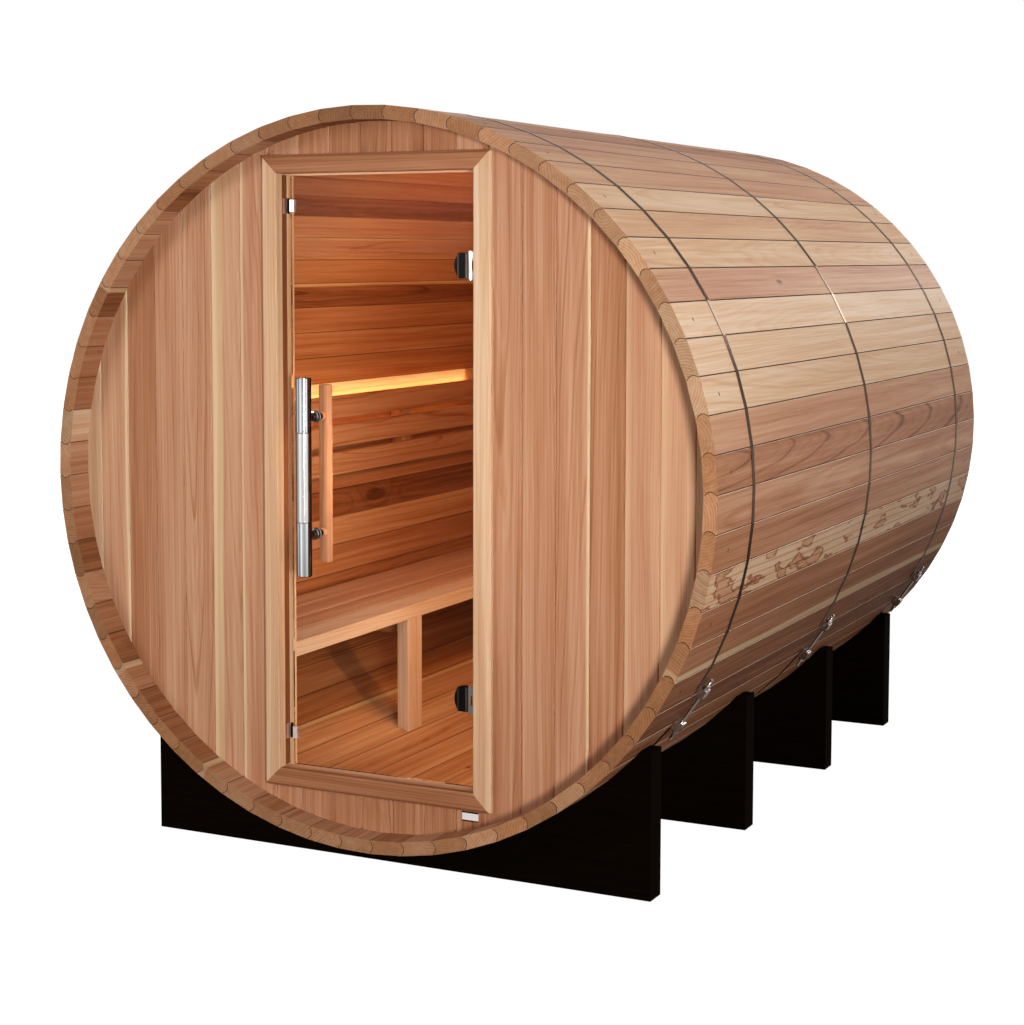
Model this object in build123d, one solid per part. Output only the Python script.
from build123d import *
import math
import os

# Barrel sauna: bead-and-cove staves held by three straps, boarded end walls,
# a glass door in the front wall, a bench with a backrest, and four cradles.
# Millimetres. X runs to the right seen from the door, Y runs from the door end
# to the back, Z is up, and the ground is Z = 0 under the middle of the barrel.

# Barrel
barrel_radius = 914.5            # axis to the middle of a stave's outer face
barrel_length = 2470.0
ground_clearance = 61.5          # ground to the lowest stave
stave_count = 64
stave_thickness = 34.0
stave_gap = 0.5                  # hairline joint between neighbours
stave_turn = -1.3                # degrees from the top to the first joint
bead_shoulder = 4.0              # flat left beside the bead, inside and out
bead_height = 7.5                # how far the bead stands into its neighbour
stave_ease = 1.6                 # eased long edges on the outside
segments = ("top", "upper_right", "right", "lower_right", "bottom", "lower_left", "left", "upper_left")

# End walls, boards set into a croze cut round the staves
wall_recess = 75.0               # stave end to the outer face of the wall
wall_thickness = 38.0
croze_depth = 9.0
croze_play = 0.4                 # wall rim to the bottom of the croze
board_pitch = 88.0
board_gap = 0.5
board_chamfer = 2.5              # V joint between boards
chamfer_share = 0.25             # most of a narrow board's width that its V edge takes

# Door opening
opening_half_width = 275.0
opening_rise = 133.5             # inside of the lowest stave to the opening
opening_drop = 121.5             # inside of the highest stave to the opening
jamb_thickness = 22.0
jamb_depth = 50.0
stop_depth = 18.0                # stop behind the leaf, on the jambs and the head
jamb_stop = 11.0                 # how far it stands into the opening at the sides
head_stop = 5.0                  # and at the top
casing_width = 46.0
casing_thickness = 18.0
casing_outer_bevel = 7.0
casing_inner_bevel = 2.5

# Glass door leaf
glass_thickness = 8.0
glass_setback = 30.0             # casing face to the glass
glass_hinge_gap = 8.0            # jamb to the glass at the hinge side
glass_catch_gap = 24.0           # jamb to the glass at the catch side
glass_end_gap = 8.0              # above and below the leaf

# Glass hinges
hinge_rise = 224.0               # bottom of the opening to the lower hinge
hinge_drop = 228.0               # top of the opening to the upper hinge
hinge_axis_inset = 17.0          # jamb to the hinge axis
hinge_axis_offset = 9.0          # glass face to the hinge axis
knuckle_radius = 5.2
knuckle_length = 22.0
knuckle_gap = 0.5
pin_radius = 3.0
pin_play = 0.3
pin_head = 1.5                   # pin past the outer knuckles
clamp_width = 37.0
clamp_height = 62.0
clamp_thickness = 4.0
clamp_inset = 26.0               # jamb to the straight edge of the clamp
clamp_bulge = 13.0               # arc of the clamp's far side
web_thickness = 4.0
leaf_thickness = 3.0
leaf_width = 26.0
arm_thickness = 6.0

# Pulls, one bar on each side of the glass
pull_inset = 89.0                # catch jamb to the bars
pull_spread = 54.0               # glass middle to the middle of each bar
outer_bar_radius = 20.0
outer_bar_length = 498.0
inner_bar_radius = 17.0
inner_bar_length = 452.0
pull_rise = 751.0                # bottom of the opening to the middle of the bars
standoff_pitch = 296.0
standoff_radius = 8.0
inner_standoff_radius = 11.0
spigot_radius = 5.0
spigot_play = 0.3
bar_rounding = 2.0
band_joint_width = 1.5           # groove round the bar at the grip's ends
band_joint_depth = 1.0
grip_share = 0.45                # plain middle of the bar, of its length

# Magnet catches on the other jamb
catch_rise = 89.0                # bottom of the opening to the lower catch
catch_drop = 80.0                # top of the opening to the upper catch
catch_plate_width = 16.0
catch_plate_height = 38.0
catch_plate_thickness = 4.0
magnet_thickness = 2.5
strike_width = 11.0
strike_height = 30.0
strike_thickness = 1.5
strike_play = 0.2

# Bench along the left side
bench_rise = 427.5               # inside of the lowest stave to the seat
bench_wall_gap = 28.0            # staves to the rearmost slat
slat_width = 92.0
slat_gap = 5.0
slat_thickness = 38.0
slat_count = 4
slat_rounding = 4.0
bearer_depth = 60.0
bearer_thickness = 34.0
bearer_front_inset = 40.0
bearer_wall_gap = 17.0           # staves to the bearers' ends
leg_width = 86.0
leg_thickness = 34.0
leg_shares = (0.35, 0.65)        # places of the legs along the barrel
bench_play = 0.3

# Backrest on the left side, with a light strip behind its top slat
back_wall_gap = 32.6             # staves to the nearest part of a slat's back
back_rise = 565.0                # seat to the top of the backrest
back_slat_height = 71.0
back_slat_gap = 18.5
back_slat_thickness = 22.0
back_slat_count = 3
back_end_clearance = 60.0        # end walls to the slats
batten_width = 70.0
batten_shares = (0.288, 0.712)
batten_overhang = 20.0           # slats past the battens, top and bottom
strip_height = 12.0
strip_depth = 14.0
strip_drop = 16.0                # slat's top to the strip's top
strip_end = 20.0                 # slat's ends to the strip's ends

# Straps and their screw tensioners
strap_width = 17.0
strap_thickness = 1.2
strap_play = 0.3
strap_setback = 245.0            # stave end to the middle of an end strap
tensioner_clearance = 28.0       # end of a cradle's seat to the rod, along the strap
lug_spacing = 104.0
lug_length = 26.0
lug_width = 30.0
lug_height = 22.0
lug_rounding = 4.0
rod_radius = 4.0
rod_length = 186.0
rod_height = 13.0                # strap to the middle of the rod
nut_radius = 8.0
nut_length = 9.0
nut_sides = 6

# Cradles
cradle_wrap = 47.9               # degrees from the bottom to the end of the seat
cradle_thickness = 64.0
cradle_end_flat = 26.0           # level top at each end
cradle_play = 0.3
cradle_shares = (0.0575, 0.332, 0.624, 0.884)
cradle_names = ("front", "second", "third", "back")

# Worked out from the above
front = -barrel_length / 2
back = barrel_length / 2
pitch = 360.0 / stave_count
half_pitch = math.radians(pitch / 2)
axis_height = ground_clearance + barrel_radius
inner_radius = barrel_radius - stave_thickness
inside_bottom = axis_height - inner_radius
inside_top = axis_height + inner_radius
corner_radius = barrel_radius / math.cos(half_pitch)
wall_radius = inner_radius + croze_depth - croze_play
front_wall_y = front + wall_recess
back_wall_y = back - wall_recess - wall_thickness
cabin_front = front_wall_y + wall_thickness
cabin_back = back_wall_y
casing_y = front_wall_y - casing_thickness
opening_bottom = inside_bottom + opening_rise
opening_top = inside_top - opening_drop
rough_half_width = opening_half_width + jamb_thickness
rough_bottom = opening_bottom - jamb_thickness
rough_top = opening_top + jamb_thickness
glass_y = casing_y + glass_setback
glass_left = -opening_half_width + glass_catch_gap
glass_right = opening_half_width - glass_hinge_gap
glass_bottom = opening_bottom + glass_end_gap
glass_top = opening_top - glass_end_gap
hinge_x = opening_half_width - hinge_axis_inset
hinge_y = glass_y - hinge_axis_offset
hinge_heights = {"lower": opening_bottom + hinge_rise, "upper": opening_top - hinge_drop}
catch_heights = (opening_bottom + catch_rise, opening_top - catch_drop)
stop_y = front_wall_y + jamb_depth - stop_depth
pull_height = opening_bottom + pull_rise
pull_x = -opening_half_width + pull_inset
bench_top = inside_bottom + bench_rise
back_top = bench_top + back_rise
glass_middle_y = glass_y + glass_thickness / 2
strap_flat = barrel_radius + strap_play
strap_outer = (strap_flat + strap_thickness) / math.cos(half_pitch)
tensioner_turn = math.degrees((rod_length / 2 + tensioner_clearance) / strap_outer)
tensioner_angle = 180.0 - cradle_wrap - tensioner_turn
strap_places = {"front": front + strap_setback, "middle": (front + back) / 2, "back": back - strap_setback}

os.makedirs("parts", exist_ok=True)


def save(name, *solids):
    shape = solids[0] if len(solids) == 1 else Compound(children=list(solids))
    export_step(shape, "parts/" + name + ".step")


def block(x0, x1, y0, y1, z0, z1):
    """Box between two corners."""
    return Pos((x0 + x1) / 2, (y0 + y1) / 2, (z0 + z1) / 2) * Box(x1 - x0, y1 - y0, z1 - z0)


def along_y(sketch_face, y0, y1):
    """Prism of a face drawn in X and Z, from y0 to y1."""
    return Pos(0, y0, 0) * extrude(sketch_face, amount=y1 - y0, dir=(0, 1, 0))


def outline(points):
    """Face in the XZ plane through the points, in order."""
    return make_face(Plane.XZ * Polyline(*points, close=True))


def section_of(edges):
    """Face in the XZ plane inside a closed run of edges."""
    return make_face([Plane.XZ * edge for edge in edges])


def round_bar(radius, z0, z1, x, y):
    """Upright cylinder."""
    return Pos(x, y, (z0 + z1) / 2) * Cylinder(radius, z1 - z0)


def rod_y(radius, y0, y1, x, z):
    """Cylinder that runs from front to back."""
    return Pos(x, (y0 + y1) / 2, z) * Rot(90, 0, 0) * Cylinder(radius, y1 - y0)


def stave_side(sign, height):
    """Point on one side of a stave, at a height above the barrel's axis."""
    return (sign * (height * math.tan(half_pitch) - stave_gap / 2 / math.cos(half_pitch)), height)


def bead_edges(sign, bulge):
    """One long edge of the stave's section, from the outside in."""
    face = stave_side(sign, barrel_radius)
    outer = (face[0] - sign * stave_ease, barrel_radius)
    eased = stave_side(sign, barrel_radius - stave_ease)
    bead_outer = stave_side(sign, barrel_radius - bead_shoulder)
    bead_inner = stave_side(sign, inner_radius + bead_shoulder)
    inner = stave_side(sign, inner_radius)
    middle = stave_side(sign, (barrel_radius + inner_radius) / 2)
    crown = (middle[0] + bulge * math.cos(half_pitch), middle[1] - sign * bulge * math.sin(half_pitch))
    shoulders = [Line(outer, eased), Line(eased, bead_outer), Line(bead_inner, inner)]
    return shoulders + [ThreePointArc(bead_outer, crown, bead_inner)]


def stave():
    """Topmost stave, with a bead on its left edge, a cove on its right edge and a croze near each end."""
    left = bead_edges(-1, -bead_height)
    right = bead_edges(1, -bead_height)
    outside = Line(left[0] @ 0, right[0] @ 0)
    inside = Line(stave_side(-1, inner_radius), stave_side(1, inner_radius))
    section = section_of(left + right + [outside, inside])
    body = along_y(section, front, back)
    reach = barrel_radius * math.tan(half_pitch) + bead_height
    low, high = inner_radius - stave_thickness, inner_radius + croze_depth
    for wall_y in (front_wall_y, back_wall_y):
        body -= block(-reach, reach, wall_y, wall_y + wall_thickness, low, high)
    return body


def staves():
    one = stave()
    share = stave_count / len(segments)
    for group, name in enumerate(segments):
        turned = []
        for place in range(round(group * share), round((group + 1) * share)):
            angle = stave_turn + (place - share / 2 + 1 / 2) * pitch
            turned.append(Pos(0, 0, axis_height) * Rot(0, angle, 0) * one)
        save("staves_" + name, *turned)


def board(x0, x1, z0, z1, wall_y):
    """Upright wall board with V edges, cut to the round of the barrel."""
    y0, y1 = wall_y, wall_y + wall_thickness
    edge = min(board_chamfer, (x1 - x0) * chamfer_share)
    points = [(x0 + edge, y0), (x1 - edge, y0), (x1, y0 + edge), (x1, y1 - edge)]
    points += [(x1 - edge, y1), (x0 + edge, y1), (x0, y1 - edge), (x0, y0 + edge)]
    plank = Pos(0, 0, z0) * extrude(make_face(Polyline(*points, close=True)), amount=z1 - z0)
    disc = rod_y(wall_radius, wall_y, wall_y + wall_thickness, 0, axis_height)
    return (plank & disc).solids()[0]


def boards(left, right, bottom, top, wall_y):
    """Boards of a wall between two sides and two heights, one of them on the barrel's middle line."""
    found = []
    reach = math.ceil(wall_radius / board_pitch)
    for place in range(-reach, reach + 1):
        x0 = max((place - 1 / 2) * board_pitch + board_gap / 2, left, -wall_radius)
        x1 = min((place + 1 / 2) * board_pitch - board_gap / 2, right, wall_radius)
        if x1 - x0 > board_chamfer:
            found.append(board(x0, x1, bottom, top, wall_y))
    return found


def end_walls():
    low = axis_height - wall_radius
    high = axis_height + wall_radius
    half = rough_half_width
    save("front_wall_left", *boards(-wall_radius, -half, low, high, front_wall_y))
    save("front_wall_right", *boards(half, wall_radius, low, high, front_wall_y))
    save("front_wall_over_door", *boards(-half, half, rough_top, high, front_wall_y))
    save("front_wall_under_door", *boards(-half, half, low, rough_bottom, front_wall_y))
    save("back_wall", *boards(-wall_radius, wall_radius, low, high, back_wall_y))


def door_frame():
    inner, outer = opening_half_width, rough_half_width
    y0, y1 = front_wall_y, front_wall_y + jamb_depth
    top = opening_top - head_stop
    left = block(-outer, -inner, y0, y1, opening_bottom, opening_top)
    right = block(inner, outer, y0, y1, opening_bottom, opening_top)
    left += block(-outer, jamb_stop - inner, stop_y, y1, opening_bottom, top)
    right += block(inner - jamb_stop, outer, stop_y, y1, opening_bottom, top)
    head = block(-outer, outer, y0, y1, opening_top, rough_top)
    head += block(-inner, inner, stop_y, y1, top, rough_top)
    save("door_jamb_left", left)
    save("door_jamb_right", right)
    save("door_head", head)
    save("door_sill", block(-outer, outer, y0, y1, rough_bottom, opening_bottom))


def casing_piece(length):
    """Mitred casing with its inner edge along X, standing up from Z = 0."""
    half = length / 2
    y0, y1 = casing_y, front_wall_y
    bevel = casing_outer_bevel
    points = [(y1, 0), (y0 + casing_inner_bevel, 0), (y0, casing_inner_bevel)]
    points += [(y0, casing_width - bevel), (y0 + bevel, casing_width), (y1, casing_width)]
    section = make_face(Plane.YZ * Polyline(*points, close=True))
    reach = half + casing_width
    strip = Pos(-reach, 0, 0) * extrude(section, amount=reach * 2, dir=(1, 0, 0))
    mitres = outline([(-half, 0), (half, 0), (reach, casing_width), (-reach, casing_width)])
    return (strip & along_y(mitres, y0, y1)).solids()[0]


def casing():
    width = opening_half_width * 2
    height = opening_top - opening_bottom
    middle = (opening_top + opening_bottom) / 2
    save("casing_top", Pos(0, 0, opening_top) * casing_piece(width))
    save("casing_bottom", Pos(0, 0, opening_bottom) * Rot(0, 180, 0) * casing_piece(width))
    save("casing_right", Pos(opening_half_width, 0, middle) * Rot(0, 90, 0) * casing_piece(height))
    save("casing_left", Pos(-opening_half_width, 0, middle) * Rot(0, -90, 0) * casing_piece(height))


def standoff_heights():
    return [pull_height - standoff_pitch / 2, pull_height + standoff_pitch / 2]


def door_glass():
    leaf = block(glass_left, glass_right, glass_y, glass_y + glass_thickness, glass_bottom, glass_top)
    for z in standoff_heights():
        leaf -= rod_y(spigot_radius + spigot_play, glass_y, glass_y + glass_thickness, pull_x, z)
    save("door_glass", leaf)


def bar(radius, length, y):
    """Upright pull bar with softened ends."""
    z0 = pull_height - length / 2
    upright = round_bar(radius, z0, z0 + length, pull_x, y)
    return fillet(upright.edges().filter_by(GeomType.CIRCLE), bar_rounding)


def pulls():
    outer_y = glass_middle_y - pull_spread
    outer = bar(outer_bar_radius, outer_bar_length, outer_y)
    grip = outer_bar_length * grip_share
    for z in (pull_height - grip / 2, pull_height + grip / 2):
        ring = round_bar(outer_bar_radius, z, z + band_joint_width, pull_x, outer_y)
        core = round_bar(outer_bar_radius - band_joint_depth, z, z + band_joint_width, pull_x, outer_y)
        outer -= ring - core
    inner_y = glass_middle_y + pull_spread
    inner = bar(inner_bar_radius, inner_bar_length, inner_y)
    glass_back = glass_y + glass_thickness
    for z in standoff_heights():
        outer += rod_y(standoff_radius, outer_y, glass_y, pull_x, z)
        outer += rod_y(spigot_radius, outer_y, glass_back, pull_x, z)
        inner += rod_y(inner_standoff_radius, glass_back, inner_y, pull_x, z)
    save("door_pull_outer", outer)
    save("door_pull_inner", inner)


def clamp_plate(y0, z):
    """D-shaped plate on the glass, with its straight edge towards the hinge."""
    right = opening_half_width - clamp_inset
    left = right - clamp_width
    shoulder = left + clamp_bulge
    low, high = z - clamp_height / 2, z + clamp_height / 2
    edges = [Line((shoulder, low), (right, low)), Line((right, low), (right, high))]
    edges.append(Line((right, high), (shoulder, high)))
    edges.append(ThreePointArc((shoulder, high), (left, z), (shoulder, low)))
    return along_y(section_of(edges), y0, y0 + clamp_thickness)


def hinges():
    straight_edge = opening_half_width - clamp_inset
    pitch_of_knuckles = knuckle_length + knuckle_gap
    for name, z in hinge_heights.items():
        bore = round_bar(pin_radius + pin_play, z - clamp_height, z + clamp_height, hinge_x, hinge_y)
        middle = round_bar(knuckle_radius, z - knuckle_length / 2, z + knuckle_length / 2, hinge_x, hinge_y)
        web_y = glass_y - clamp_thickness
        low, high = z - knuckle_length / 2, z + knuckle_length / 2
        web = block(straight_edge - clamp_thickness, hinge_x, web_y, web_y + web_thickness, low, high)
        outside = clamp_plate(glass_y - clamp_thickness, z) + web + middle - bore
        inside = clamp_plate(glass_y + glass_thickness, z)
        save("hinge_" + name + "_clamp", outside, inside)

        face = opening_half_width - leaf_thickness
        reach = pitch_of_knuckles + knuckle_length / 2
        y0, y1 = hinge_y - knuckle_radius, hinge_y + leaf_width
        leaf = block(face, opening_half_width, y0, y1, z - reach, z + reach)
        for step in (-pitch_of_knuckles, pitch_of_knuckles):
            low, high = z + step - knuckle_length / 2, z + step + knuckle_length / 2
            leaf += round_bar(knuckle_radius, low, high, hinge_x, hinge_y)
            half_arm = arm_thickness / 2
            leaf += block(hinge_x, face, hinge_y - half_arm, hinge_y + half_arm, low, high)
        leaf += round_bar(pin_radius, z - reach - pin_head, z + reach + pin_head, hinge_x, hinge_y)
        save("hinge_" + name + "_leaf", leaf)


def catches():
    plates, magnets, strikes = [], [], []
    jamb = -opening_half_width
    for z in catch_heights:
        low, high = z - catch_plate_height / 2, z + catch_plate_height / 2
        y1 = stop_y - magnet_thickness
        plates.append(block(jamb, jamb + catch_plate_thickness, y1 - catch_plate_width, y1, low, high))
        magnets.append(block(jamb, jamb + jamb_stop, y1, stop_y, low, high))
        left = glass_left - strike_thickness - strike_play
        y0 = glass_y - strike_play - strike_thickness
        y1 = glass_y + glass_thickness + strike_play + strike_thickness
        low, high = z - strike_height / 2, z + strike_height / 2
        clip = block(left, glass_left + strike_width, y0, y1, low, high)
        slot_y0, slot_y1 = glass_y - strike_play, glass_y + glass_thickness + strike_play
        clip -= block(glass_left - strike_play, glass_left + strike_width, slot_y0, slot_y1, low, high)
        strikes.append(clip)
    save("catch_plates", *plates)
    save("catch_magnets", *magnets)
    save("strike_clips", *strikes)


def inside_half_width(z):
    """Half of the cabin's width at a height above the ground."""
    return math.sqrt(inner_radius ** 2 - (z - axis_height) ** 2)


def bench():
    z0 = bench_top - slat_thickness
    depth = slat_count * (slat_width + slat_gap) - slat_gap
    bench_front = -inside_half_width(z0) + bench_wall_gap + depth
    slats = []
    for place in range(slat_count):
        x1 = bench_front - place * (slat_width + slat_gap)
        slat = block(x1 - slat_width, x1, cabin_front + bench_play, cabin_back - bench_play, z0, bench_top)
        slats.append(fillet(slat.edges().filter_by(Axis.Y).group_by(Axis.Z)[-1], slat_rounding))
    save("bench_slats", *slats)

    bearer_bottom = z0 - bearer_depth
    leg_back = [front + share * barrel_length + leg_width / 2 for share in leg_shares]
    starts = [cabin_front] + leg_back + [cabin_back - bearer_thickness]
    wall_x = -inside_half_width(bearer_bottom) + bearer_wall_gap
    x1 = bench_front - bearer_front_inset
    save("bench_bearers", *[block(wall_x, x1, y, y + bearer_thickness, bearer_bottom, z0) for y in starts])

    legs = []
    x0, x1 = bench_front - leg_thickness, bench_front
    foot_back = axis_height - math.sqrt(inner_radius ** 2 - x0 ** 2) + bench_play
    foot_front = axis_height - math.sqrt(inner_radius ** 2 - x1 ** 2) + bench_play
    for y in leg_back:
        side = outline([(x0, foot_back), (x1, foot_front), (x1, z0), (x0, z0)])
        legs.append(along_y(side, y - leg_width, y))
    save("bench_legs", *legs)


def backrest():
    y0, y1 = cabin_front + back_end_clearance, cabin_back - back_end_clearance
    rise = back_slat_height + back_slat_gap
    back_bottom = back_top - back_slat_count * rise + back_slat_gap
    slat_back = -min(inside_half_width(back_bottom), inside_half_width(back_top)) + back_wall_gap
    slat_front = slat_back + back_slat_thickness
    slats = []
    for place in range(back_slat_count):
        top = back_top - place * rise
        slat = block(slat_back, slat_front, y0, y1, top - back_slat_height, top)
        slats.append(fillet(slat.edges().filter_by(Axis.Y).group_by(Axis.X)[-1], slat_rounding))
    save("backrest_slats", *slats)

    low = back_bottom + batten_overhang
    high = back_top - batten_overhang - strip_drop - strip_height
    wall_low, wall_high = -inside_half_width(low) + bench_play, -inside_half_width(high) + bench_play
    side = outline([(wall_low, low), (slat_back, low), (slat_back, high), (wall_high, high)])
    battens = []
    for share in batten_shares:
        y = front + share * barrel_length
        battens.append(along_y(side, y - batten_width / 2, y + batten_width / 2))
    save("backrest_battens", *battens)

    top = back_top - strip_drop
    lamp = block(slat_back - strip_depth, slat_back, y0 + strip_end, y1 - strip_end, top - strip_height, top)
    save("light_strip", lamp)


def strap_point(angle, flat):
    """Point of the strap, which is bent at each stave joint, at an angle from the top."""
    off_flat = (angle - stave_turn) % pitch - pitch / 2
    radius = flat / math.cos(math.radians(off_flat))
    return (radius * math.sin(math.radians(angle)), radius * math.cos(math.radians(angle)))


def strap_ends():
    """Angles from the top at which the strap starts and ends, under the lugs of its tensioner."""
    reach = math.degrees(math.asin(lug_spacing / 2 / strap_outer))
    return tensioner_angle + reach, tensioner_angle - reach + 360


def strap(middle_y):
    """Thin open ring round the staves, from one lug of its tensioner to the other."""
    first, last = strap_ends()
    joints = [stave_turn + place * pitch for place in range(stave_count * 2)]
    angles = [first] + [angle for angle in joints if first < angle < last] + [last]
    inner = [strap_point(angle, strap_flat) for angle in angles]
    outer = [strap_point(angle, strap_flat + strap_thickness) for angle in reversed(angles)]
    section = outline(inner + outer)
    return Pos(0, 0, axis_height) * along_y(section, middle_y - strap_width / 2, middle_y + strap_width / 2)


def tensioner(middle_y):
    """Two lugs on the strap's ends, drawn together by a threaded rod with a nut."""
    made, bases = None, []
    for angle in strap_ends():
        x, z = strap_point(angle, strap_flat + strap_thickness)
        bases.append(math.hypot(x, z) * math.cos(math.radians(angle - tensioner_angle)) + strap_play)
    top = max(bases) + lug_height
    for side, base in zip((1, -1), bases):
        x = side * lug_spacing / 2
        lug = block(x - lug_length / 2, x + lug_length / 2, -lug_width / 2, lug_width / 2, base, top)
        lug = fillet(lug.edges().filter_by(Axis.Y).group_by(Axis.Z)[-1], lug_rounding)
        made = lug if made is None else made + lug
    rod_z = max(bases) + rod_height
    made += Pos(0, 0, rod_z) * Rot(0, 90, 0) * Cylinder(rod_radius, rod_length)
    for side in (-1, 1):
        nut_x = side * (lug_spacing / 2 + lug_length / 2)
        nut = Plane.YZ * extrude(RegularPolygon(nut_radius, nut_sides), amount=side * nut_length)
        made += Pos(nut_x, 0, rod_z) * nut
    return Pos(0, middle_y, axis_height) * Rot(0, tensioner_angle, 0) * made


def straps():
    for name, middle_y in strap_places.items():
        save("strap_" + name, strap(middle_y))
        save("tensioner_" + name, tensioner(middle_y))


def cradles():
    """Boards with a round seat, relieved where a strap passes over one."""
    seat = corner_radius + cradle_play
    shoulder = seat * math.sin(math.radians(cradle_wrap))
    lip = axis_height - seat * math.cos(math.radians(cradle_wrap))
    half = shoulder + cradle_end_flat
    edges = [Line((-half, 0), (half, 0)), Line((half, 0), (half, lip)), Line((half, lip), (shoulder, lip))]
    edges += [ThreePointArc((shoulder, lip), (0, axis_height - seat), (-shoulder, lip))]
    edges += [Line((-shoulder, lip), (-half, lip)), Line((-half, lip), (-half, 0))]
    section = section_of(edges)
    for name, share in zip(cradle_names, cradle_shares):
        y0 = front + share * barrel_length
        cradle = along_y(section, y0, y0 + cradle_thickness)
        for strap_y in strap_places.values():
            reach = strap_width / 2 + strap_play
            cradle -= rod_y(strap_outer + strap_play, strap_y - reach, strap_y + reach, 0, axis_height)
        save("cradle_" + name, cradle)


staves()
end_walls()
door_frame()
casing()
door_glass()
pulls()
hinges()
catches()
bench()
backrest()
straps()
cradles()
